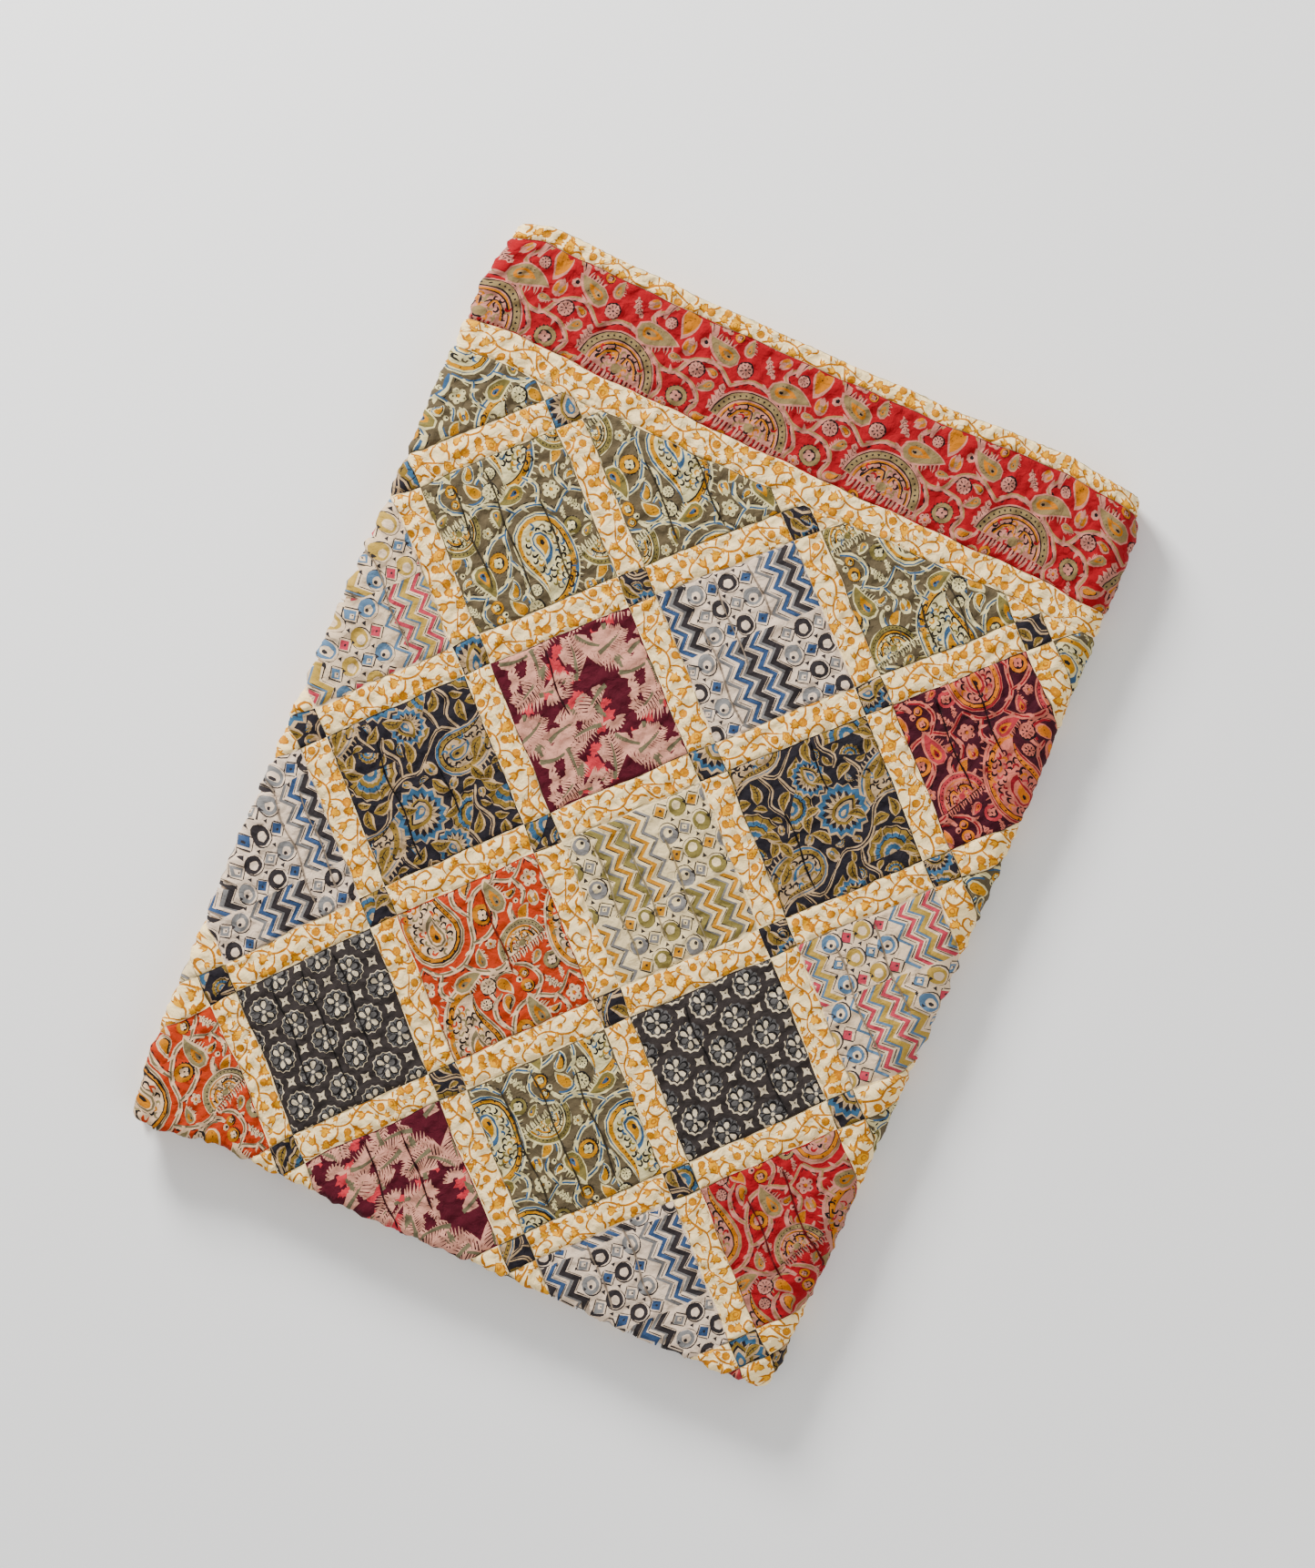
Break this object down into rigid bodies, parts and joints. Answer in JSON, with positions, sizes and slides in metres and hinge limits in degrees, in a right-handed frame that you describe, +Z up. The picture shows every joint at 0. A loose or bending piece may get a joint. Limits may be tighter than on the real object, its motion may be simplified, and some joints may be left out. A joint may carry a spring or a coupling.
{
  "type": "folded patchwork quilt",
  "caption": "Folded cotton patchwork quilt: block-printed squares set on point with cream sashing, a red paisley border band and a cream printed binding, folded into a flat rectangular pack.",
  "frame": {"origin": "centre of the pack's outline, on the surface it rests on", "axes": "+Z up, +Y along the pack towards its bound end edges, +X towards the big fold"},
  "size_m": [0.626, 0.866, 0.0494],
  "materials": {
    "patchwork": "matt block-printed cotton patchwork, padded and hand quilted",
    "binding": "matt cream cotton printed with mustard vines"
  },
  "bodies": {
    "root": {"quilt_body": "patchwork", "binding_upper_end": "binding", "binding_lower_end": "binding", "binding_under_side": "binding", "binding_inner_side": "binding"}
  },
  "joints": []
}
